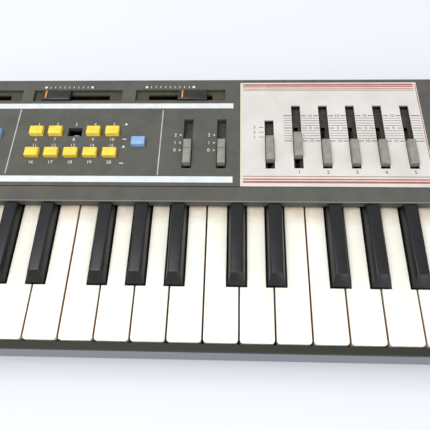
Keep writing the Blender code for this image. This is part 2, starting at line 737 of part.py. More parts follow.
def make_key_chassis():
    floor, top = CHASSIS_FLOOR, CHASSIS_FLOOR + CHASSIS_THICKNESS
    rod = [
        (PIVOT_Y + PIVOT_RADIUS * math.cos(angle), PIVOT_Z + PIVOT_RADIUS * math.sin(angle))
        for angle in [math.radians(step) for step in range(-45, 226, 45)]
    ]
    half_wall = PIVOT_WALL / 2
    profile = [
        (CHASSIS_FRONT, floor),
        (CHASSIS_REAR, floor),
        (CHASSIS_REAR, top),
        (PIVOT_Y + half_wall, top),
        (PIVOT_Y + half_wall, PIVOT_Z - PIVOT_RADIUS),
        *rod,
        (PIVOT_Y - half_wall, PIVOT_Z - PIVOT_RADIUS),
        (PIVOT_Y - half_wall, top),
        (STOP_RAIL_Y[1], top),
        (STOP_RAIL_Y[1], STOP_RAIL_TOP),
        (STOP_RAIL_Y[0], STOP_RAIL_TOP),
        (STOP_RAIL_Y[0], top),
        (CHASSIS_FRONT, top),
    ]
    half = KEY_WELL_HALF - KEY_WELL_SIDE_GAP
    piece("key_chassis", along_x(profile, (-half, half)), "steel")


def make_contact_board():
    low = CHASSIS_FLOOR + CHASSIS_THICKNESS + GAP
    top = low + BOARD_THICKNESS
    profile = [
        (CONTACT_BOARD_Y[0], low),
        (CONTACT_BOARD_Y[1], low),
        (CONTACT_BOARD_Y[1], top),
        (CONTACT_RIDGE_Y[1], top),
        (CONTACT_RIDGE_Y[1] - 1.0, CONTACT_RIDGE_TOP),
        (CONTACT_RIDGE_Y[0] + 1.0, CONTACT_RIDGE_TOP),
        (CONTACT_RIDGE_Y[0], top),
        (CONTACT_BOARD_Y[0], top),
    ]
    half = KEY_WELL_HALF - 4.0
    piece("contact_board", along_x(profile, (-half, half)), "board")


def make_equalizer_panel():
    plate = block(PLATE_X, PLATE_Y, (PLATE_PROUD - PLATE_THICKNESS, PLATE_PROUD))
    cuts = [slot(equalizer_x(index), EQUALIZER_SLOT_WIDTH, EQUALIZER_SLOT_Y) for index in range(EQUALIZER_SLOTS)]
    cuts.append(slot(SELECTOR_X, EQUALIZER_SLOT_WIDTH, SELECTOR_SLOT_Y))
    piece("equalizer_panel", on_panel(combined(plate, [("DIFFERENCE", merged(cuts))])), "plate")


def panel_point(x, y, height=0.0):
    return PANEL @ Vector((x, y, height))


def make_knob(name, x, y, material="grey_knob"):
    """A slide knob: a long cap with softened edges on a thin stem."""
    cap = block(
        (x - KNOB_WIDTH / 2, x + KNOB_WIDTH / 2), (y - KNOB_LENGTH / 2, y + KNOB_LENGTH / 2), (-KNOB_BELOW, KNOB_HEIGHT)
    )
    bevelled(cap, edges_at(cap, lambda co: co.z > KNOB_HEIGHT - 0.1), KNOB_EDGE)
    stem = block(
        (x - STEM_WIDTH / 2, x + STEM_WIDTH / 2), (y - STEM_LENGTH / 2, y + STEM_LENGTH / 2), (STEM_BOTTOM, -KNOB_BELOW / 2)
    )
    piece(name, on_panel(combined(cap, [("UNION", stem)])), material, panel_point(x, y))


def make_slide_cap(name, x):
    """A black slider cap: a flat block with a rounded front ridge, on a stem through the slit."""
    y0, y1 = SLIDE_CAP_Y
    arc = [
        (y0 + SLIDE_CAP_EDGE * (1 - math.sin(angle)), SLIDE_CAP_HEIGHT - SLIDE_CAP_EDGE * (1 - math.cos(angle)))
        for angle in [math.radians(step) for step in (90, 60, 30, 0)]
    ]
    profile = [
        (y0, -RECESS_DEPTH + GAP),
        *arc,
        (y1 - 0.5, SLIDE_CAP_HEIGHT - 0.3),
        (y1, SLIDE_CAP_HEIGHT - 0.9),
        (y1, -RECESS_DEPTH + GAP),
    ]
    cap = along_x(profile, (x - SLIDE_CAP_LENGTH / 2, x + SLIDE_CAP_LENGTH / 2))
    stem = block(
        (x - STEM_LENGTH / 2, x + STEM_LENGTH / 2), (SLIT_Y - STEM_WIDTH / 2, SLIT_Y + STEM_WIDTH / 2), (STEM_BOTTOM, 0.0)
    )
    piece(name, on_panel(combined(cap, [("UNION", stem)])), "black_cap", panel_point(x, SLIT_Y))


def button_shape(x, y):
    half_x, half_y = BUTTON_WIDTH / 2, BUTTON_DEPTH / 2
    low = -PANEL_THICKNESS - GAP
    cap = block((x - half_x, x + half_x), (y - half_y, y + half_y), (low - 0.5, BUTTON_HEIGHT))
    bevelled(cap, edges_at(cap, lambda co: co.z > BUTTON_HEIGHT - 0.1), BUTTON_EDGE)
    return cap


def button_flange(x, y):
    """The collar that stops a button from leaving its hole; x is a (low, high) pair of button centres."""
    half_x, half_y = BUTTON_WIDTH / 2 + BUTTON_FLANGE, BUTTON_DEPTH / 2 + BUTTON_FLANGE
    low = -PANEL_THICKNESS - GAP
    return block((x[0] - half_x, x[1] + half_x), (y - half_y, y + half_y), (low - 1.2, low))


def make_button(name, x, y, material):
    shape = combined(button_shape(x, y), [("UNION", button_flange((x, x), y))])
    piece(name, on_panel(shape), material, panel_point(x, y))


def make_rhythm_strip(name, row):
    """A row of small buttons moulded on one carrier."""
    y = TONE_ROWS_Y[row]
    centres = [RHYTHM_X + column * TONE_PITCH for column in range(RHYTHM_COLUMNS)]
    carrier = button_flange((centres[0], centres[-1]), y)
    shape = combined(carrier, [("UNION", button_shape(x, y)) for x in centres])
    piece(name, on_panel(shape), "yellow", panel_point(centres[0], y))


def pot_along_y(x, low_y, travel):
    """A slide control on the board: a housing with a groove that guides a knob's stem."""
    y = (low_y - STEM_LENGTH / 2 - POT_END, low_y + travel + STEM_LENGTH / 2 + POT_END)
    body = block((x - POT_WIDTH / 2, x + POT_WIDTH / 2), y, (MAIN_BOARD_Z + 0.5, POT_TOP))
    groove = block((x - POT_SLIT / 2, x + POT_SLIT / 2), (y[0] + 1.2, y[1] - 1.2), (MAIN_BOARD_Z + 2.0, POT_TOP + 1.0))
    return body, groove


def pot_along_x(low_x, travel):
    x = (low_x - STEM_LENGTH / 2 - POT_END, low_x + travel + STEM_LENGTH / 2 + POT_END)
    half = POT_WIDTH / 2
    body = block(x, (SLIT_Y - half, SLIT_Y + half), (MAIN_BOARD_Z + 0.5, POT_TOP))
    groove = block(
        (x[0] + 1.2, x[1] - 1.2), (SLIT_Y - POT_SLIT / 2, SLIT_Y + POT_SLIT / 2), (MAIN_BOARD_Z + 2.0, POT_TOP + 1.0)
    )
    return body, groove


def make_main_board():
    board = block(MAIN_BOARD_X, MAIN_BOARD_Y, (MAIN_BOARD_Z, MAIN_BOARD_Z + BOARD_THICKNESS))
    pots = [pot_along_y(equalizer_x(index), EQUALIZER_LOW_Y, EQUALIZER_TRAVEL) for index in range(EQUALIZER_SLOTS)]
    pots.append(pot_along_y(SELECTOR_X, SELECTOR_REST_Y, SELECTOR_TRAVEL))
    pots += [pot_along_y(x, EFFECT_REST_Y, EFFECT_TRAVEL) for x in EFFECT_X]
    pots.append(pot_along_y(POWER_X, POWER_REST_Y, POWER_TRAVEL))
    pots += [pot_along_x(SLIDE_LOW_X[name], SLIDE_TRAVEL) for name in RECESS_CENTRES]
    switches = []
    places = [(x, y) for _, _, x, y in tone_places()] + list(SELECT_BUTTONS.values())
    for x, y in places:
        switches.append(block((x - 3.0, x + 3.0), (y - 2.0, y + 2.0), (MAIN_BOARD_Z + 0.5, SWITCH_TOP)))
    for y in TONE_ROWS_Y:
        end = RHYTHM_X + (RHYTHM_COLUMNS - 1) * TONE_PITCH
        switches.append(block((RHYTHM_X - 3.0, end + 3.0), (y - 2.0, y + 2.0), (MAIN_BOARD_Z + 0.5, SWITCH_TOP)))
    x = TONE_X + EMPTY_TONE * TONE_PITCH
    y = TONE_ROWS_Y[0]
    plunger = block((x - 1.4, x + 1.4), (y - 2.2, y - 0.4), (SWITCH_TOP - 1.0, panel_z(y) - PANEL_THICKNESS - 0.4))
    steps = [("UNION", merged(body for body, _ in pots)), ("UNION", merged(switches)), ("UNION", plunger)]
    steps.append(("DIFFERENCE", merged(groove for _, groove in pots)))
    piece("main_board", combined(board, steps), "board")


def make_speaker():
    """A turned basket with a cone, a dust cap and a magnet, hung under the grille."""
    rim = -PANEL_THICKNESS - GAP
    profile = [
        (0.0, rim - 7.0),
        (6.0, rim - 8.4),
        (7.5, rim - 9.5),
        (23.0, rim - 2.0),
        (25.0, rim - 1.0),
        (SPEAKER_RADIUS, rim),
        (SPEAKER_RADIUS, rim - 1.6),
        (25.5, rim - 2.6),
        (15.0, rim - 12.5),
        (17.0, rim - 12.5),
        (17.0, rim - 20.5),
        (0.0, rim - 20.5),
    ]
    bm = bmesh.new()
    verts = [bm.verts.new((r, 0, z)) for r, z in profile]
    edges = [bm.edges.new(pair) for pair in zip(verts, verts[1:])]
    bmesh.ops.spin(
        bm, geom=verts + edges, cent=(0, 0, 0), axis=(0, 0, 1), angle=2 * math.pi, steps=20, use_merge=True,
    )
    bmesh.ops.remove_doubles(bm, verts=bm.verts, dist=0.001)
    bmesh.ops.recalc_face_normals(bm, faces=bm.faces)
    bmesh.ops.translate(bm, vec=(SPEAKER_X, SPEAKER_Y, 0), verts=bm.verts)
    piece("speaker", on_panel(bm), "black_cap")


def make_jack_panel():
    plate = block(JACK_PANEL_X, (HALF_DEPTH - WALL + 0.2, HALF_DEPTH), JACK_PANEL_Z)
    middle = sum(JACK_PANEL_X) / 2
    centres = [middle + step * JACK_PITCH for step in (-1, 0, 1)]
    inner = HALF_DEPTH - JACK_DEPTH
    sleeves = merged(
        cylinder((x, JACK_Z), JACK_SLEEVE, inner - 2.0, HALF_DEPTH - 1.0, axis="Y") for x in centres
    )
    bores = merged(cylinder((x, JACK_Z), JACK_RADIUS, inner, HALF_DEPTH + 1.0, axis="Y") for x in centres)
    piece("jack_panel", combined(plate, [("UNION", sleeves), ("DIFFERENCE", bores)]), "black_cap")


def make_controls():
    for index in range(EQUALIZER_SLOTS):
        make_knob(f"equalizer_slider_{index + 1}", equalizer_x(index), EQUALIZER_REST_Y[index])
    make_knob("equalizer_selector", SELECTOR_X, SELECTOR_REST_Y)
    for name, x in zip(("vibrato_switch", "sustain_switch"), EFFECT_X):
        make_knob(name, x, EFFECT_REST_Y)
    make_knob("power_switch", POWER_X, POWER_REST_Y)
    for name, x in SLIDE_REST_X.items():
        make_slide_cap(name, x)
    for row, column, x, y in tone_places():
        if (row, column) != (0, EMPTY_TONE):
            make_button(f"tone_button_{'ab'[row]}{column + 1}", x, y, "yellow")
    for name, (x, y) in SELECT_BUTTONS.items():
        make_button(name, x, y, "blue")
    make_rhythm_strip("rhythm_buttons_a", 0)
    make_rhythm_strip("rhythm_buttons_b", 1)


def main():
    for item in list(bpy.data.objects):
        bpy.data.objects.remove(item)
    make_upper_case()
    make_lower_case()
    make_equalizer_panel()
    make_battery_cover()
    make_key_chassis()
    make_contact_board()
    make_main_board()
    make_speaker()
    make_jack_panel()
    make_controls()
    make_keys()


main()
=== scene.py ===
# %% [markdown]
# A portable keyboard with mini keys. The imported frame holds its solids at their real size, and this
# file gives them their looks: rounded edges, moulded plastics, printed scales, dust and light. The
# player sits at -Y and the panel is a plane that falls one degree towards the player.

import json
import math

import bmesh
import bpy
from mathutils import Matrix, Vector

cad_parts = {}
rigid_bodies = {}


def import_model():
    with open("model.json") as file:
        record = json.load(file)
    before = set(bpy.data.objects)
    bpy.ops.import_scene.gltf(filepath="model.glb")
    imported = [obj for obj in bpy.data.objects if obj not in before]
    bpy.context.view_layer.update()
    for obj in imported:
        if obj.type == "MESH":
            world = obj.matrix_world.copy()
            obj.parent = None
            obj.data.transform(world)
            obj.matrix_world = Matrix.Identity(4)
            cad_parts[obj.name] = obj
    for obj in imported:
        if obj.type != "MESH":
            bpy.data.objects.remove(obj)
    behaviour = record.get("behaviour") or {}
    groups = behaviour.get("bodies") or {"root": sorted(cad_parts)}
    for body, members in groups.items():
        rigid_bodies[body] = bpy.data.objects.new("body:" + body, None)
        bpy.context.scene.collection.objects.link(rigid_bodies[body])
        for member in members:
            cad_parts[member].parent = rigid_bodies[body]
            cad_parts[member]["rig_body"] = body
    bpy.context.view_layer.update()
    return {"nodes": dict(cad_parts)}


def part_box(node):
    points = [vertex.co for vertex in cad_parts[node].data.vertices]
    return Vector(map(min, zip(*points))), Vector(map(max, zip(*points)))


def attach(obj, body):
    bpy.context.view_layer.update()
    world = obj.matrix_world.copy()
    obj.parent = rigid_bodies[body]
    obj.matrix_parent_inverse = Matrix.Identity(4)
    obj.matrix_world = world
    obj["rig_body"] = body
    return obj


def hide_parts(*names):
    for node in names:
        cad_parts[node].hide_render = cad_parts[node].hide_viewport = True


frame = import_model()

# %% [markdown]
# Sizes are in millimetres, as a maker writes them, and become metres when a mesh is stored. The
# panel's place comes from its rear edge. Everything printed is laid out flat, with z as the height
# over the panel, and one matrix then tilts it on to the panel.

# %% Shared sizes
MM = 0.001
PANEL_REAR = (86.0, 50.8)  # y and z of the panel's rear edge
PANEL_SLOPE = math.radians(1.0)
KEY_TOP = 42.3
SLOT_WIDTH = 5.65

PANEL = (
    Matrix.Translation((0, *PANEL_REAR))
    @ Matrix.Rotation(PANEL_SLOPE, 4, "X")
    @ Matrix.Translation((0, -PANEL_REAR[0], 0))
)


def panel_z(y):
    return PANEL_REAR[1] + (y - PANEL_REAR[0]) * math.tan(PANEL_SLOPE)


print("panel height at the keys", round(panel_z(0.0), 2), "mm")

# %% [markdown]
# Colours are written as sRGB hex, as they are read from a picture, and one function makes them
# linear. One more function adds a shader node with its settings and its links, so a material reads
# as a list of its nodes.

# %% Colour and node helpers
MULTIPLY = {"operation": "MULTIPLY"}
RGBA = {"data_type": "RGBA"}
MIX_A, MIX_B, MIX_OUT = 6, 7, 2  # the colour sockets of a Mix node, which are hidden among others


def linear(code):
    """An sRGB hex colour such as "#5b5a55" as linear RGBA."""
    channels = [int(code[i : i + 2], 16) / 255 for i in (1, 3, 5)]
    light = [c / 12.92 if c <= 0.04045 else ((c + 0.055) / 1.055) ** 2.4 for c in channels]
    return (*light, 1.0)


def add(tree, kind, settings, inputs):
    """Adds a node; an input takes a plain value or another node's output socket."""
    node = tree.nodes.new(kind)
    for name, value in settings.items():
        setattr(node, name, value)
    for name, value in inputs.items():
        if isinstance(value, bpy.types.NodeSocket):
            tree.links.new(value, node.inputs[name])
        else:
            node.inputs[name].default_value = value
    return node


print("a middle grey is", round(linear("#808080")[0], 3), "in linear light")

# %% [markdown]
# Injection-moulded plastic is never one flat colour: handling and dust leave it mottled at the
# scale of a few millimetres, and its tool surface adds a grain of about half a millimetre. A flat
# colour with a bump would show the grain alone, so this recipe also mixes two close colours by a
# slow noise. Paint, ink and paper use it too, with a finer grain.

# %% The recipe for a mottled, grained surface
GRAIN_DEPTH = 0.03 * MM
GRAIN_STRENGTH = 0.6
PATCH_RANGE = (0.35, 0.65)  # the noise values that give the dark colour and the light one


def grained(name, dark, light, roughness, patch_mm=9.0, grain_mm=0.7, grain=GRAIN_DEPTH):
    """Gives back the material, its tree, its shader, its place node and its mottled colour."""
    material = bpy.data.materials.new(name)
    material.use_nodes = True
    tree = material.node_tree
    shader = tree.nodes["Principled BSDF"]
    shader.inputs["Roughness"].default_value = roughness
    place = add(tree, "ShaderNodeTexCoord", {}, {})
    patches = add(
        tree, "ShaderNodeTexNoise", {},
        {"Vector": place.outputs["Object"], "Scale": 1 / (patch_mm * MM), "Detail": 4.0},
    )
    share = add(
        tree, "ShaderNodeMapRange", {},
        {"Value": patches.outputs["Fac"], "From Min": PATCH_RANGE[0], "From Max": PATCH_RANGE[1]},
    )
    colour = add(
        tree, "ShaderNodeMix", RGBA,
        {0: share.outputs["Result"], MIX_A: linear(dark), MIX_B: linear(light)},
    )
    fine = add(
        tree, "ShaderNodeTexNoise", {},
        {"Vector": place.outputs["Object"], "Scale": 1 / (grain_mm * MM), "Detail": 2.0},
    )
    bump = add(
        tree, "ShaderNodeBump", {},
        {"Height": fine.outputs["Fac"], "Distance": grain, "Strength": GRAIN_STRENGTH},
    )
    tree.links.new(bump.outputs["Normal"], shader.inputs["Normal"])
    tree.links.new(colour.outputs[MIX_OUT], shader.inputs["Base Color"])
    return material, tree, shader, place, colour.outputs[MIX_OUT]


def layered(tree, shader, colour, layers):
    """Lays shades over a colour, each one where all of its masks overlap."""
    for masks, shade in layers:
        share = masks[0]
        for mask in masks[1:]:
            share = add(tree, "ShaderNodeMath", MULTIPLY, {0: share, 1: mask}).outputs[0]
        step = add(tree, "ShaderNodeMix", RGBA, {0: share, MIX_A: colour, MIX_B: linear(shade)})
        colour = step.outputs[MIX_OUT]
    tree.links.new(colour, shader.inputs["Base Color"])


print("moulded grain", round(GRAIN_DEPTH / MM, 3), "mm deep")

# %% [markdown]
# The case is textured ABS in a warm dark grey, whose texture scatters light and leaves no clear
# highlight. The recesses and slots are darkened, partly by dust and partly as painted shade. The edge
# over the keys gets a painted highlight, the top of the rail in front of the keys a painted shade,
# and the front wall a lighter painted reflection. Masks painted by hand would need an image, so each
# mask is made from y, the height over the panel or the normal.

# %% The case plastic
CASE_SPECULAR = 0.3
RECESS_DUST_AND_SHADE = (-0.7 * MM, -1.8 * MM)  # heights over the panel where the dust and painted shade start and are full
SEAM_SIDE_Y = (4.0 * MM, 6.0 * MM)
REAR_SIDE_Y = (85.4 * MM, 84.6 * MM)
LIP_Y = (-4.2 * MM, -4.6 * MM)
LIP_HEIGHT = (-0.5 * MM, -0.2 * MM)
RAIL_Y = (-84.0 * MM, -84.6 * MM)
FACING_UP = (0.5, 0.9)
FACING_FRONT = (-0.7, -0.9)


def case_plastic():
    material, tree, shader, place, colour = grained(
        "textured_abs_grey", "#53524d", "#5b5a54", 0.62
    )
    shader.inputs["Specular IOR Level"].default_value = CASE_SPECULAR
    axes = add(tree, "ShaderNodeSeparateXYZ", {}, {0: place.outputs["Object"]})
    normal = add(tree, "ShaderNodeSeparateXYZ", {}, {0: place.outputs["Normal"]})
    y = axes.outputs["Y"]
    plane = add(
        tree, "ShaderNodeMath", {"operation": "MULTIPLY_ADD"},
        {0: y, 1: math.tan(PANEL_SLOPE), 2: panel_z(0.0) * MM},
    )
    over = add(
        tree, "ShaderNodeMath", {"operation": "SUBTRACT"},
        {0: axes.outputs["Z"], 1: plane.outputs[0]},
    ).outputs[0]
    ranges = {
        "sunk": (over, RECESS_DUST_AND_SHADE),
        "behind_seam": (y, SEAM_SIDE_Y),
        "before_rear": (y, REAR_SIDE_Y),
        "at_lip": (y, LIP_Y),
        "on_panel": (over, LIP_HEIGHT),
        "at_rail": (y, RAIL_Y),
        "up": (normal.outputs["Z"], FACING_UP),
        "front": (normal.outputs["Y"], FACING_FRONT),
    }
    mask = {}
    for name, (value, (start, full)) in ranges.items():
        mask[name] = add(
            tree, "ShaderNodeMapRange", {}, {"Value": value, "From Min": start, "From Max": full}
        ).outputs["Result"]
    # Dust and painted shade: the recesses and slots are darkened brown.
    dust_and_shade = ((mask["sunk"], mask["behind_seam"], mask["before_rear"]), "#4b473a")
    # Painted highlight: the upward edge over the keys is lightened.
    painted_lip_highlight = ((mask["at_lip"], mask["up"], mask["on_panel"]), "#84837d")
    # Painted shade: the top of the rail in front of the keys is darkened.
    painted_rail_shade = ((mask["at_rail"], mask["up"]), "#2c2c25")
    # Painted reflection: the front wall is lightened to a blue-grey.
    painted_front_reflection = ((mask["at_rail"], mask["front"]), "#7f8086")
    layered(tree, shader, colour, (dust_and_shade, painted_lip_highlight, painted_rail_shade, painted_front_reflection))
    return material


CASE = case_plastic()
print("case plastic", len(CASE.node_tree.nodes), "nodes")

# %% [markdown]
# White keys are polished ABS in a cream white, which mirrors softly. Finger grease and dust turn
# them brown where they meet the strip, so the stain grows with y. Their sides, the faces that look
# sideways, get a brown painted shade. Black keys are satin ABS with a broader highlight.

# %% The key plastics
STAIN_Y = (-17.0 * MM, -4.0 * MM)
STAIN_PATCH_MM = 5.0
SIDEWAYS = (0.6, 1.0)
# How much of the brown painted shade the key sides take.
SIDE_SHADE = 0.85
POLISHED_GRAIN = 0.004 * MM


def ivory_plastic():
    material, tree, shader, place, colour = grained(
        "polished_abs_cream", "#f7f4e6", "#fdfbf0", 0.28,
        patch_mm=30.0, grain_mm=2.0, grain=POLISHED_GRAIN,
    )
    axes = add(tree, "ShaderNodeSeparateXYZ", {}, {0: place.outputs["Object"]})
    normal = add(tree, "ShaderNodeSeparateXYZ", {}, {0: place.outputs["Normal"]})
    blots = add(
        tree, "ShaderNodeTexNoise", {},
        {"Vector": place.outputs["Object"], "Scale": 1 / (STAIN_PATCH_MM * MM), "Detail": 5.0},
    )
    rear = add(
        tree, "ShaderNodeMapRange", {},
        {"Value": axes.outputs["Y"], "From Min": STAIN_Y[0], "From Max": STAIN_Y[1]},
    )
    sideways = add(
        tree, "ShaderNodeMath", {"operation": "ABSOLUTE"}, {0: normal.outputs["X"]}
    )
    side = add(
        tree, "ShaderNodeMapRange", {},
        {
            "Value": sideways.outputs[0], "From Min": SIDEWAYS[0], "From Max": SIDEWAYS[1],
            "To Max": SIDE_SHADE,
        },
    )
    dirty_rear = ((rear.outputs["Result"], blots.outputs["Fac"]), "#b08a56")
    # Painted shade: the sides of the white keys are tinted brown.
    painted_side_shade = ((side.outputs["Result"],), "#b98a5c")
    layered(tree, shader, colour, (dirty_rear, painted_side_shade))
    return material


IVORY = ivory_plastic()
EBONY = grained(
    "satin_abs_black", "#08080a", "#101115", 0.38, patch_mm=12.0, grain_mm=0.9, grain=0.008 * MM
)[0]
print("key plastics", IVORY.name, EBONY.name)

# %% [markdown]
# The equalizer plate is aluminium sheet under a satin paint in warm white, which has gone yellow at
# its left edge. The paint hides the metal, so it is made as paint: no metallic value, and a grain
# that hardly shows.

# %% The plate's paint
YELLOWED_X = (12.0 * MM, 9.7 * MM)


def plate_paint():
    material, tree, shader, place, colour = grained(
        "satin_paint_warm_white", "#cfcbc5", "#dad6d1", 0.45,
        patch_mm=20.0, grain_mm=0.5, grain=POLISHED_GRAIN,
    )
    axes = add(tree, "ShaderNodeSeparateXYZ", {}, {0: place.outputs["Object"]})
    yellowed = add(
        tree, "ShaderNodeMapRange", {},
        {"Value": axes.outputs["X"], "From Min": YELLOWED_X[0], "From Max": YELLOWED_X[1]},
    )
    layered(tree, shader, colour, [((yellowed.outputs["Result"],), "#d6cdb2")])
    return material


PLATE = plate_paint()
print("plate paint", PLATE.name)

# %% [markdown]
# Knobs, caps and buttons are satin ABS in their own colours: a broad soft highlight, and so little
# grain that a button looks smooth beside the case. The circuit boards are brown paper laminate,
# which is dull. The chassis is zinc-plated steel, the one bare metal, with dull grey spangles.

# %% Control plastics, boards and steel
KNOB_SURFACE = {"patch_mm": 4.0, "grain": 0.01 * MM}
BUTTON_SURFACE = {"patch_mm": 4.0, "grain": 0.006 * MM}
KNOB = grained("satin_abs_light_grey", "#85837a", "#949289", 0.45, **KNOB_SURFACE)[0]
CAP = grained("satin_abs_cap_black", "#1d1d1c", "#2a2a28", 0.36, **KNOB_SURFACE)[0]
YELLOW = grained("satin_abs_yellow", "#f6cd3c", "#fbdb58", 0.42, **BUTTON_SURFACE)[0]
BLUE = grained("satin_abs_blue", "#86a8d6", "#95b6de", 0.42, **BUTTON_SURFACE)[0]
BOARD = grained("paper_laminate_brown", "#3f3426", "#4d4232", 0.7, patch_mm=3.0)[0]
STEEL, _, steel_shader, _, _ = grained(
    "zinc_plated_steel", "#8a8c8c", "#a2a4a3", 0.4, patch_mm=6.0
)
steel_shader.inputs["Metallic"].default_value = 1.0
print("finishes", len(bpy.data.materials))

# %% [markdown]
# Screen-printing ink dries to a satin film with hardly any grain. The prints share one recipe, and
# differ in their two colours, their gloss and the size of their patches.

# %% The inks
INK_GRAIN = 0.002 * MM
INKS = {  # name, dark colour, light colour, roughness, patch size in millimetres
    "white": ("screen_ink_white", "#d6dada", "#e0e4e4", 0.5, 6.0),
    "cream": ("screen_ink_cream", "#d3cfc2", "#e2dfd4", 0.55, 3.0),
    "red": ("screen_ink_red_brown", "#a05a50", "#ac675c", 0.5, 6.0),
    "dark": ("screen_ink_brown_black", "#3c3430", "#4a423d", 0.5, 3.0),
    "orange": ("screen_ink_orange", "#ee8334", "#f5944a", 0.45, 3.0),
    "silver": ("screen_ink_silver", "#a9a9a4", "#bdbdb8", 0.45, 6.0),
}
INK_OF = {
    colour: grained(name, dark, light, roughness, patch_mm=patch, grain=INK_GRAIN)[0]
    for colour, (name, dark, light, roughness, patch) in INKS.items()
}
print("inks", *INK_OF)

# %% [markdown]
# The CAD solids have crisp edges, but a moulding has a radius on each, and that radius is what
# catches the light. A copy of the solid is merged, because a CAD mesh is loose triangles. Its flat
# faces are joined, its chosen edges are bevelled, and it stands in for the node. Only edges above a
# given height are chosen, since the lower ones are inside the case.

# %% Rounded copies of the solids
MERGE = 0.001 * MM
FLAT_ANGLE = math.radians(0.5)  # faces that meet at less than this are one flat face
EDGE_ANGLE = math.radians(18)  # edges sharper than this get a radius
SMOOTH_ANGLE = math.radians(35)
EDGE_SEGMENTS = 2


def stored(name, bm, material, body, scale=1.0):
    """Makes a piece from a bmesh, and lets it ride on a body."""
    mesh = bpy.data.meshes.new(name)
    bm.to_mesh(mesh)
    bm.free()
    mesh.transform(Matrix.Scale(scale, 4))
    mesh.shade_smooth()
    mesh.set_sharp_from_angle(angle=SMOOTH_ANGLE)
    mesh.materials.append(material)
    piece = bpy.data.objects.new(name, mesh)
    bpy.context.scene.collection.objects.link(piece)
    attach(piece, body)
    return piece


def rounded(node, radius, low_z, material):
    """A copy of a node whose edges above a height, in millimetres, are rounded."""
    source = frame["nodes"][node]
    bm = bmesh.new()
    bm.from_mesh(source.data)
    bmesh.ops.remove_doubles(bm, verts=bm.verts, dist=MERGE)
    bmesh.ops.dissolve_limit(bm, angle_limit=FLAT_ANGLE, verts=bm.verts, edges=bm.edges)
    chosen = [
        edge
        for edge in bm.edges
        if edge.is_manifold
        and edge.calc_face_angle(0.0) > EDGE_ANGLE
        and all(vert.co.z > low_z * MM for vert in edge.verts)
    ]
    bmesh.ops.bevel(
        bm, geom=chosen, offset=radius * MM, offset_type="OFFSET", segments=EDGE_SEGMENTS,
        profile=0.5, affect="EDGES", material=-1, clamp_overlap=True,
    )
    piece = stored(node + "_moulding", bm, material, source["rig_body"])
    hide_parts(node)
    return piece


print("edges sharper than", round(math.degrees(EDGE_ANGLE)), "degrees get a radius")

# %% [markdown]
# The keys come first. A white key gets its radius all round its top, and a black key wherever it
# stands above the white ones, so both chosen heights lie just under the white keys' top.

# %% Keys
WHITE_EDGE = 0.45
WHITE_LOW_Z = KEY_TOP - 0.1
BLACK_EDGE = 0.5
BLACK_LOW_Z = KEY_TOP - 0.05

white_nodes = [name for name in frame["nodes"] if "white" in name]
black_nodes = [name for name in frame["nodes"] if "black" in name]
for name in white_nodes:
    rounded(name, WHITE_EDGE, WHITE_LOW_Z, IVORY)
for name in black_nodes:
    rounded(name, BLACK_EDGE, BLACK_LOW_Z, EBONY)
print("keys", len(white_nodes), "white", len(black_nodes), "black")

# %% [markdown]
# Each control stands proud of the panel, and only what stands proud is rounded.

# %% Knobs, caps and buttons
KNOB_EDGE = 0.22
BUTTON_EDGE = 0.25
CONTROL_LOW_Z = panel_z(0.0)

knob_nodes = [n for n in frame["nodes"] if n.startswith("equalizer_s") or n.endswith("_switch")]
cap_nodes = ["melody_volume_slider", "tempo_slider", "accompaniment_volume_slider"]
yellow_nodes = [n for n in frame["nodes"] if n.startswith(("tone_button", "rhythm_buttons"))]
blue_nodes = ["tone_select_button", "rhythm_select_button"]
for names, radius, finish, slot in (
    (knob_nodes, KNOB_EDGE, KNOB, "grey_knob"),
    (cap_nodes, KNOB_EDGE, CAP, "black_cap"),
    (yellow_nodes, BUTTON_EDGE, YELLOW, "yellow_cap"),
    (blue_nodes, BUTTON_EDGE, BLUE, "blue_cap"),
):
    for name in names:
        rounded(name, radius, CONTROL_LOW_Z, finish)
    print(slot, len(names))

# %% [markdown]
# The remaining solids keep their CAD mesh, which already has the real one's shape, and only change
# their finish.

# %% Finishes on the carried-over solids
FINISH_OF = {
    "upper_case": CASE,
    "lower_case": CASE,
    "battery_cover": CASE,
    "equalizer_panel": PLATE,
    "main_board": BOARD,
    "contact_board": BOARD,
    "key_chassis": STEEL,
    "speaker": CAP,
    "jack_panel": CAP,
}
for name, finish in FINISH_OF.items():
    mesh = frame["nodes"][name].data
    mesh.materials.clear()
    mesh.materials.append(finish)
print("carried-over solids", len(FINISH_OF))

# %% [markdown]
# Screen printing is a film of ink. It could be an image on the panel, but then its edges would
# depend on the image's size, so each colour is one mesh of thin bars, triangles and plain numbers.
# They are laid out flat in panel millimetres and then tilted on to the panel. A real film is
# thinner than this one, which is drawn a few hundredths of a millimetre thick, and a quarter of it
# is sunk so that no gap shows under it.

# %% Printing helpers
FILM = 0.04
FILM_MIDDLE = FILM / 4  # the height of the film's middle over what it is printed on
FONT_PER_HEIGHT = 1.35  # the font size that makes a digit one unit high
FONT_ARCS = 3

inks = {}


def ink(colour):
    return inks.setdefault(colour, bmesh.new())


def about(middle, size):
    """The (low, high) pair of a size about its middle."""
    return middle - size / 2, middle + size / 2


def flat_box(bm, x, y, middle, thickness):
    """A thin box from two (low, high) pairs, tilted with the panel."""
    size = Matrix.Diagonal((x[1] - x[0], y[1] - y[0], thickness, 1.0))
    centre = Matrix.Translation((sum(x) / 2, sum(y) / 2, middle))
    bmesh.ops.create_cube(bm, size=1.0, matrix=PANEL @ centre @ size)


def bar(colour, x, y, base=0.0):
    """A printed rectangle from two (low, high) pairs."""
    flat_box(ink(colour), x, y, base + FILM_MIDDLE, FILM)


def triangle(colour, x, y, radius, turn, base=0.0):
    """A printed triangle whose point looks along turn, in degrees from +X."""
    spot = Matrix.Translation((x, y, base + FILM_MIDDLE))
    bmesh.ops.create_cone(
        ink(colour), cap_ends=True, segments=3, radius1=radius, radius2=radius, depth=FILM,
        matrix=PANEL @ spot @ Matrix.Rotation(math.radians(turn - 90), 4, "Z"),
    )


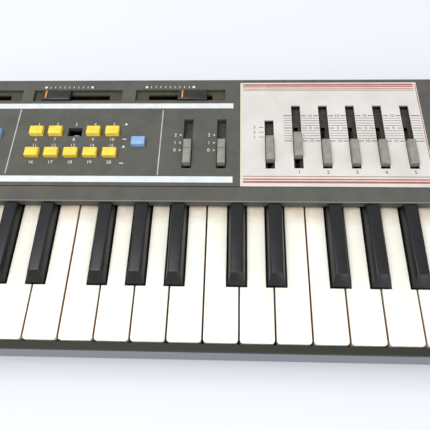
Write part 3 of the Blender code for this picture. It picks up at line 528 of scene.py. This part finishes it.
def number(colour, text, x, y, height, base=0.0):
    """A plain printed number, centred on its place."""
    curve = bpy.data.curves.new("number", "FONT")
    curve.body = str(text)
    curve.size = height * FONT_PER_HEIGHT
    curve.align_x = "CENTER"
    curve.align_y = "CENTER"
    curve.extrude = FILM / 2
    curve.resolution_u = FONT_ARCS
    shape = bpy.data.objects.new("number", curve)
    bpy.context.scene.collection.objects.link(shape)
    bpy.context.view_layer.update()
    evaluated = shape.evaluated_get(bpy.context.evaluated_depsgraph_get())
    mesh = bpy.data.meshes.new_from_object(evaluated)
    mesh.transform(PANEL @ Matrix.Translation((x, y, base + FILM_MIDDLE)))
    ink(colour).from_mesh(mesh)
    bpy.data.objects.remove(shape)
    bpy.data.curves.remove(curve)
    bpy.data.meshes.remove(mesh)


print("ink film", FILM, "mm")

# %% [markdown]
# Two white bands frame the controls left of the plate, and silver lines part their groups. Each
# long slide control has a row of ticks between two squares, and its rows are evenly spaced, so one
# loop prints all three.

# %% Bands, dividers and ticks
BANDS_Y = ((63.5, 67.5), (8.0, 12.2))
BANDS_X = (-290.0, 5.25)
DIVIDERS = ((-39.75, (13.1, 62.1)), (-132.85, (13.8, 62.6)))
DIVIDER_WIDTH = 0.7
TICK_ROW_STARTS = (-50.7, -118.3, -186.0)
TICK_ROW = 28.35
TICKS = 9
TICKS_Y = 81.3
TICK_INSET = 1.6
TICK_WIDTH = 0.35
TICK_LENGTH = 1.7
END_SQUARE = 1.6
END_SQUARE_OUT = 1.4

for limits in BANDS_Y:
    bar("white", BANDS_X, limits)
for x, limits in DIVIDERS:
    bar("silver", about(x, DIVIDER_WIDTH), limits)
for start in TICK_ROW_STARTS:
    for index in range(TICKS):
        x = start + TICK_INSET + index * (TICK_ROW - 2 * TICK_INSET) / (TICKS - 1)
        bar("white", about(x, TICK_WIDTH), about(TICKS_Y, TICK_LENGTH))
    for x in (start - END_SQUARE_OUT, start + TICK_ROW + END_SQUARE_OUT):
        bar("white", about(x, END_SQUARE), about(TICKS_Y, END_SQUARE))
print("tick rows", len(TICK_ROW_STARTS))

# %% [markdown]
# The tone buttons have plain numbers over and under them. An arrow and a dash beside each row say
# which of its two numbers the blue button chooses.

# %% Marks around the tone buttons
TONE_X = -118.7
TONE_PITCH = 12.1
TONE_COLUMNS = 5
TONE_LABELS_Y = (50.6, 38.9, 34.4, 22.0)
TONE_DIGIT = 2.3
CHOICE_X = -62.5
ARROWS_Y = (50.7, 33.5)
ARROW_RADIUS = 1.2
DASHES_Y = (39.2, 21.4)
DASH_LENGTH = 2.4
DASH_WIDTH = 0.6

for row, y in enumerate(TONE_LABELS_Y):
    for column in range(TONE_COLUMNS):
        text = row * TONE_COLUMNS + column + 1
        number("cream", text, TONE_X + column * TONE_PITCH, y, TONE_DIGIT)
for y in ARROWS_Y:
    triangle("white", CHOICE_X, y, ARROW_RADIUS, 90)
for y in DASHES_Y:
    bar("white", about(CHOICE_X, DASH_LENGTH), about(y, DASH_WIDTH))
print("tone numbers", len(TONE_LABELS_Y) * TONE_COLUMNS)

# %% [markdown]
# Each effect switch has three stops. A small pointer marks each one at the slot's left side, with a
# plain number beside it.

# %% Marks beside the two effect switches
EFFECT_SLOTS = ((-25.7, -19.8), (-4.75, 1.05))
EFFECT_STOPS_Y = (31.0, 36.6, 42.4)
POINTER_GAP = 1.7
POINTER_RADIUS = 0.8
STOP_DIGIT_GAP = 4.9
STOP_DIGIT = 2.5

for left, _ in EFFECT_SLOTS:
    for step, y in enumerate(EFFECT_STOPS_Y):
        triangle("white", left - POINTER_GAP, y, POINTER_RADIUS, 0)
        number("cream", step, left - STOP_DIGIT_GAP, y, STOP_DIGIT)
print("effect stops", len(EFFECT_SLOTS) * len(EFFECT_STOPS_Y))

# %% [markdown]
# The plate's stripes run across it at both ends. Its scale has three bold lines and four fine ones
# between each two. A line stops beside every slot, and on a bold line it also stops beside the
# number that stands between two slots. So a line is printed as a list of spans.

# %% Stripes and scale lines on the equalizer plate
PLATE_PROUD = 0.1
STRIPES_X = (11.5, 121.3)
STRIPES = (  # y of the middle and thickness, from the rear
    (82.8, 1.4), (81.15, 0.9), (79.3, 0.6), (78.0, 0.4), (12.4, 0.5), (10.4, 0.9), (8.5, 1.4),
)
EDGE_LINE_X = (122.4, 122.9)
EDGE_LINE_Y = (7.8, 83.5)
FIRST_SLOT_X = 44.85
SLOT_PITCH = 17.0
SLOTS = 5
SCALE_Y = (38.0, 47.8, 57.4)
BOLD_LINE = 0.55
FINE_LINE = 0.3
FINE_LINES = 4
LINE_ENDS = (36.9, 121.6)
LINE_GAP = 0.35
NUMBER_ROOM = 4.6

slots_x = [FIRST_SLOT_X + index * SLOT_PITCH for index in range(SLOTS)]


def scale_line(y, thickness, numbered):
    """A scale line in pieces, which stop at each slot and beside each number."""
    edge = SLOT_WIDTH / 2 + LINE_GAP
    spans = [(LINE_ENDS[0], slots_x[0] - edge), (slots_x[-1] + edge, LINE_ENDS[1])]
    for left, right in zip(slots_x, slots_x[1:]):
        if numbered:
            room = about((left + right) / 2, NUMBER_ROOM)
            spans += [(left + edge, room[0]), (room[1], right - edge)]
        else:
            spans.append((left + edge, right - edge))
    for span in spans:
        bar("dark", span, about(y, thickness), PLATE_PROUD)


for y, thickness in STRIPES:
    bar("red", STRIPES_X, about(y, thickness), PLATE_PROUD)
bar("red", EDGE_LINE_X, EDGE_LINE_Y, PLATE_PROUD)
for y in SCALE_Y:
    scale_line(y, BOLD_LINE, True)
for low, high in zip(SCALE_Y, SCALE_Y[1:]):
    for step in range(1, FINE_LINES + 1):
        scale_line(low + (high - low) * step / (FINE_LINES + 1), FINE_LINE, False)
print("stripes", len(STRIPES), "slots", SLOTS)

# %% [markdown]
# The scale reads from 0 in the middle to 10 at both ends, between each two slots. In front of the
# slots the sliders are numbered, and the selector at the left has its own three stops.

# %% Numbers on the equalizer plate
SCALE_NUMBERS = (10, 0, 10)
SCALE_DIGIT = 2.2
SLIDER_DIGIT = 2.6
SLIDER_DIGIT_Y = 15.4
SELECTOR_STOPS_Y = (40.8, 44.6, 48.3)
SELECTOR_DASH_X = (21.4, 24.2)
SELECTOR_DASH = 0.4
SELECTOR_DIGIT_X = 18.6
SELECTOR_DIGIT = 2.3

for left, right in zip(slots_x, slots_x[1:]):
    for y, text in zip(SCALE_Y, SCALE_NUMBERS):
        number("dark", text, (left + right) / 2, y, SCALE_DIGIT, PLATE_PROUD)
for index, x in enumerate(slots_x):
    number("dark", index + 1, x, SLIDER_DIGIT_Y, SLIDER_DIGIT, PLATE_PROUD)
for step, y in enumerate(SELECTOR_STOPS_Y):
    bar("dark", SELECTOR_DASH_X, about(y, SELECTOR_DASH), PLATE_PROUD)
    number("dark", step + 1, SELECTOR_DIGIT_X, y, SELECTOR_DIGIT, PLATE_PROUD)
print("plate numbers", (SLOTS - 1) * len(SCALE_Y) + SLOTS + len(SELECTOR_STOPS_Y))

# %% [markdown]
# All prints that stay still are now drawn, so each colour becomes one piece that rides on the case.

# %% Store the fixed prints
for colour, bm in inks.items():
    slot = "plate" if colour in ("red", "dark") else "case"
    piece = stored(f"{colour}_print", bm, INK_OF[colour], "case", MM)
    print(piece.name, len(piece.data.polygons), "faces")
inks.clear()

# %% [markdown]
# Some marks move: each black cap has an orange line near its left end, and each effect knob has a
# dark line across it. They are made in the same way, and ride on their own bodies.

# %% Marks on the moving controls
CAP_TOP = 1.4  # heights over the panel
KNOB_TOP = 3.2
CAP_LINE_FROM_END = 2.95
CAP_LINE_WIDTH = 0.9
CAP_LINE_Y = (71.4, 77.4)
KNOB_LINE_INSET = 0.6
KNOB_LINE_Y = (30.6, 31.0)

for node in cap_nodes:
    low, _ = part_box(node)
    bar("orange", about(low.x / MM + CAP_LINE_FROM_END, CAP_LINE_WIDTH), CAP_LINE_Y, CAP_TOP)
    stored(node + "_line", inks.pop("orange"), INK_OF["orange"], node, MM)
for node in ("vibrato_switch", "sustain_switch"):
    low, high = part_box(node)
    across = (low.x / MM + KNOB_LINE_INSET, high.x / MM - KNOB_LINE_INSET)
    bar("dark", across, KNOB_LINE_Y, KNOB_TOP)
    stored(node + "_line", inks.pop("dark"), INK_OF["dark"], node, MM)
print("cap line", CAP_LINE_WIDTH, "mm wide")

# %% [markdown]
# Under each long slot lies a dust shield with a slit for the knob's stem, so the slot looks dark
# grey with a darker line in it. A real shield is one strip of film with a slit cut in it. Here it
# is two side strips and an end strip, which look the same from above and need no cut. All shields
# are one piece that rides on the case, just below the panel.

# %% Dust shields under the slots
SHIELD_HEIGHT = -4.3
SHIELD_THICKNESS = 0.3
SHIELD_SLIT = 2.6
SHIELD_MARGIN = 1.2
SELECTOR_X = 27.75
SLIDER_SHIELD_Y = (17.5, 51.4, 66.4)  # the shield's front, its slit's end and its rear
SELECTOR_SHIELD_Y = (17.2, 42.4, 54.6)
EFFECT_SHIELD_Y = (17.4, 43.0, 55.4)

places = [(x, SLIDER_SHIELD_Y) for x in slots_x]
places += [(SELECTOR_X, SELECTOR_SHIELD_Y)]
places += [(sum(edges) / 2, EFFECT_SHIELD_Y) for edges in EFFECT_SLOTS]
shields = bmesh.new()
for middle, (front, slit_end, rear) in places:
    outside = SLOT_WIDTH / 2 + SHIELD_MARGIN
    for side in (-1, 1):
        ends = sorted((middle + side * SHIELD_SLIT / 2, middle + side * outside))
        flat_box(shields, ends, (front, slit_end), SHIELD_HEIGHT, SHIELD_THICKNESS)
    whole = (middle - outside, middle + outside)
    flat_box(shields, whole, (slit_end, rear), SHIELD_HEIGHT, SHIELD_THICKNESS)
# PVC film is dull once dust lies on it, so it gives no highlight inside the slot.
FILM_PLASTIC = grained("pvc_film_dark_grey", "#33322d", "#47443c", 0.7, patch_mm=3.0)[0]
stored("dust_shields", shields, FILM_PLASTIC, "case", MM)
print("shields", len(places))

# %% [markdown]
# One tone button has lost its cap, and the small blue plunger of its switch shows in the hole. The
# CAD board has a plain post there, so the piece here fits round the top of that post.

# %% The plunger in the empty hole
EMPTY_COLUMN = 2
PLUNGER_Y = 43.75
PLUNGER_Z = 45.4
PLUNGER_SIZE = (3.4, 2.4, 2.2)
PLUNGER_EDGE = 0.3

plunger = bmesh.new()
spot = Matrix.Translation((TONE_X + EMPTY_COLUMN * TONE_PITCH, PLUNGER_Y, PLUNGER_Z))
bmesh.ops.create_cube(plunger, size=1.0, matrix=spot @ Matrix.Diagonal((*PLUNGER_SIZE, 1.0)))
bmesh.ops.bevel(
    plunger, geom=plunger.edges[:], offset=PLUNGER_EDGE, offset_type="OFFSET",
    segments=EDGE_SEGMENTS, profile=0.5, affect="EDGES", material=-1,
)
piece = stored("switch_plunger", plunger, BLUE, "case", MM)
print(piece.name, len(piece.data.polygons), "faces")

# %% [markdown]
# The floor is matt paper. A brighter lamp would make it white, but would also wash out the object,
# so the paper itself glows a little for the camera and for reflections, and still takes a shadow.

# %% The floor
FLOOR_HALF = 3.0
FLOOR_GLOW = 0.25  # share of plain white that only the camera and reflections see


def floor_paper():
    material, tree, shader, _, _ = grained(
        "matt_paper_white", "#e6e9f0", "#eaecf2", 0.8, patch_mm=400.0, grain_mm=5.0
    )
    path = add(tree, "ShaderNodeLightPath", {}, {})
    seen = add(
        tree, "ShaderNodeMath", {"operation": "MAXIMUM"},
        {0: path.outputs["Is Camera Ray"], 1: path.outputs["Is Glossy Ray"]},
    )
    share = add(tree, "ShaderNodeMath", MULTIPLY, {0: seen.outputs[0], 1: FLOOR_GLOW})
    white = add(
        tree, "ShaderNodeEmission", {}, {"Color": linear("#f6f9ff"), "Strength": 1.0}
    )
    blend = add(
        tree, "ShaderNodeMixShader", {},
        {0: share.outputs[0], 1: shader.outputs[0], 2: white.outputs[0]},
    )
    tree.links.new(blend.outputs[0], tree.nodes["Material Output"].inputs["Surface"])
    return material


sheet = bmesh.new()
bmesh.ops.create_grid(sheet, x_segments=1, y_segments=1, size=FLOOR_HALF)
mesh = bpy.data.meshes.new("floor")
sheet.to_mesh(mesh)
sheet.free()
mesh.materials.append(floor_paper())
floor = bpy.data.objects.new("floor", mesh)
bpy.context.scene.collection.objects.link(floor)
print("floor", 2 * FLOOR_HALF, "m")

# %% [markdown]
# One large soft lamp stands over the left half, and a weaker one in front. With an even pale world
# they light the object at about the level at which a colour renders as written.

# %% Lamps and world
LAMP_TARGET = Vector((0, 0, 0.04))
WORLD_COLOUR = (0.96, 0.98, 1.0, 1.0)
WORLD_STRENGTH = 0.66


def lamp(name, place, size, watts):
    """A square soft lamp that looks at the middle of the keyboard."""
    light = bpy.data.lights.new(name, "AREA")
    light.size = size
    light.energy = watts
    item = bpy.data.objects.new(name, light)
    item.location = place
    item.rotation_euler = (LAMP_TARGET - Vector(place)).to_track_quat("-Z", "Y").to_euler()
    bpy.context.scene.collection.objects.link(item)


lamp("window_lamp", place=(-0.5, -0.1, 1.4), size=0.9, watts=13.0)
lamp("front_lamp", place=(0.6, -1.1, 0.8), size=0.8, watts=5.0)
world = bpy.data.worlds.new("studio")
bpy.context.scene.world = world
world.use_nodes = True
sky = world.node_tree.nodes["Background"]
sky.inputs["Color"].default_value = WORLD_COLOUR
sky.inputs["Strength"].default_value = WORLD_STRENGTH
print("world strength", WORLD_STRENGTH)

# %% [markdown]
# The camera was solved from the keys, slots and buttons: it looks 62 degrees down from above the
# keys, turned and rolled a few degrees. Its axes are built from those three angles, because a
# tracking constraint would leave the roll out.

# %% Camera
FOCAL_PIXELS = 488.0
FRAME_PIXELS = 430.0
SENSOR_MM = 36.0
CAMERA_PLACE = Vector((7.386, -144.799, 294.006)) * MM
CAMERA_DOWN, CAMERA_YAW, CAMERA_ROLL = 1.077074, -0.089954, -0.071216

forward = Vector(
    (
        math.sin(CAMERA_YAW) * math.cos(CAMERA_DOWN),
        math.cos(CAMERA_YAW) * math.cos(CAMERA_DOWN),
        -math.sin(CAMERA_DOWN),
    )
)
level = Vector((math.cos(CAMERA_YAW), -math.sin(CAMERA_YAW), 0.0))
upward = level.cross(forward)
right = math.cos(CAMERA_ROLL) * level + math.sin(CAMERA_ROLL) * upward
top = math.cos(CAMERA_ROLL) * upward - math.sin(CAMERA_ROLL) * level
axes = Matrix((right, top, -forward)).transposed().to_4x4()
camera_data = bpy.data.cameras.new("camera")
camera_data.sensor_width = SENSOR_MM
camera_data.lens = FOCAL_PIXELS / FRAME_PIXELS * SENSOR_MM
camera_data.clip_start = 0.01
camera = bpy.data.objects.new("camera", camera_data)
camera.matrix_world = Matrix.Translation(CAMERA_PLACE) @ axes
bpy.context.scene.collection.objects.link(camera)
bpy.context.scene.camera = camera
bpy.context.scene.view_settings.view_transform = "Standard"
print("lens", round(camera_data.lens, 2), "mm")
